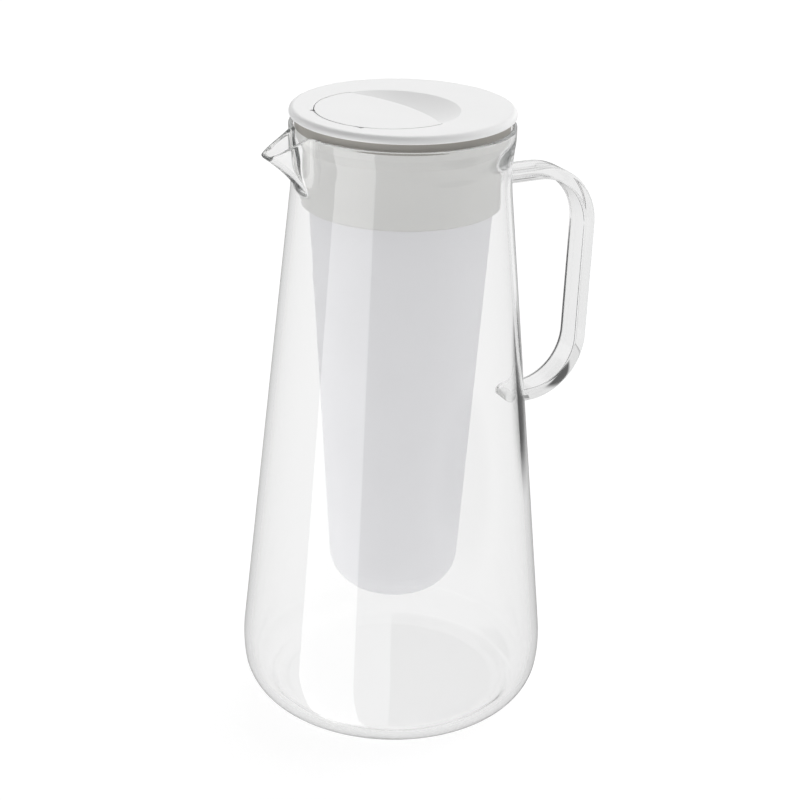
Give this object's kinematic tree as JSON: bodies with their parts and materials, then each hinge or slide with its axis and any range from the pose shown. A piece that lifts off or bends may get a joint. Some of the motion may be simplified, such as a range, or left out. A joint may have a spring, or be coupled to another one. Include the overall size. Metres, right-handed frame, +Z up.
{
  "type": "water filter pitcher",
  "caption": "Tapered clear glass pitcher with pouring lip and strap handle, a hanging filter reservoir with membrane and media cartridge inside, and a round lid with a hinged fill flap.",
  "frame": {"origin": "centre of the jug's foot, on the surface it stands on", "axes": "+Z up along the jug's axis, +X towards the handle, -X towards the spout"},
  "size_m": [0.1604, 0.134, 0.2715],
  "materials": {
    "clear_glass": "clear borosilicate glass, fire polished",
    "collar_plastic": "satin warm light grey moulding",
    "cup_plastic": "satin cool light grey moulding",
    "grey_silicone": "soft grey silicone",
    "filter_plastic": "satin white moulding",
    "resin": "cast honey coloured resin",
    "fibre": "white hollow fibre",
    "black_rubber": "black rubber",
    "screen_mesh": "fine drilled screen",
    "ion_resin": "amber resin beads",
    "carbon": "black carbon granules",
    "lid_plastic": "satin white moulding",
    "plug_plastic": "satin grey moulding",
    "pin_steel": "drawn steel wire"
  },
  "bodies": {
    "jug": {"jug_body": "clear_glass", "handle": "clear_glass"},
    "reservoir": {"reservoir_collar": "collar_plastic", "reservoir_cup": "cup_plastic", "collar_seal": "grey_silicone"},
    "filter": {"membrane_cap": "filter_plastic", "membrane_tube": "filter_plastic", "potting_plug": "resin", "fibre_bundle": "fibre", "outlet_o_ring": "black_rubber"},
    "cartridge": {"cartridge_shell": "filter_plastic", "outlet_screen": "screen_mesh", "ion_exchange_bed": "ion_resin", "divider_screen": "screen_mesh", "carbon_bed": "carbon", "inlet_screen": "screen_mesh", "cartridge_cap": "filter_plastic", "cartridge_o_ring": "black_rubber"},
    "lid": {"lid_plate": "lid_plastic", "lid_plug": "plug_plastic", "lid_gasket": "grey_silicone", "flap_hinge_pin": "pin_steel"},
    "flap": {"fill_flap": "lid_plastic"}
  },
  "joints": [
    {"name": "reservoir_lift", "type": "slide", "parent": "jug", "child": "reservoir", "axis": [0, 0, 1], "range_m": [0, 0.23]},
    {"name": "filter_lift", "type": "slide", "parent": "reservoir", "child": "filter", "axis": [0, 0, 1], "range_m": [0, 0.05]},
    {"name": "cartridge_twist", "type": "hinge", "parent": "filter", "child": "cartridge", "pos_m": [0, 0, 0.15], "axis": [0, 0, 1], "range_deg": [0, 60]},
    {"name": "lid_lift", "type": "slide", "parent": "reservoir", "child": "lid", "axis": [0, 0, 1], "range_m": [0, 0.06]},
    {"name": "flap_hinge", "type": "hinge", "parent": "lid", "child": "flap", "pos_m": [-0.03365, -0.00715, 0.2707], "axis": [0.2079, -0.9781, 0], "range_deg": [0, 85]}
  ]
}
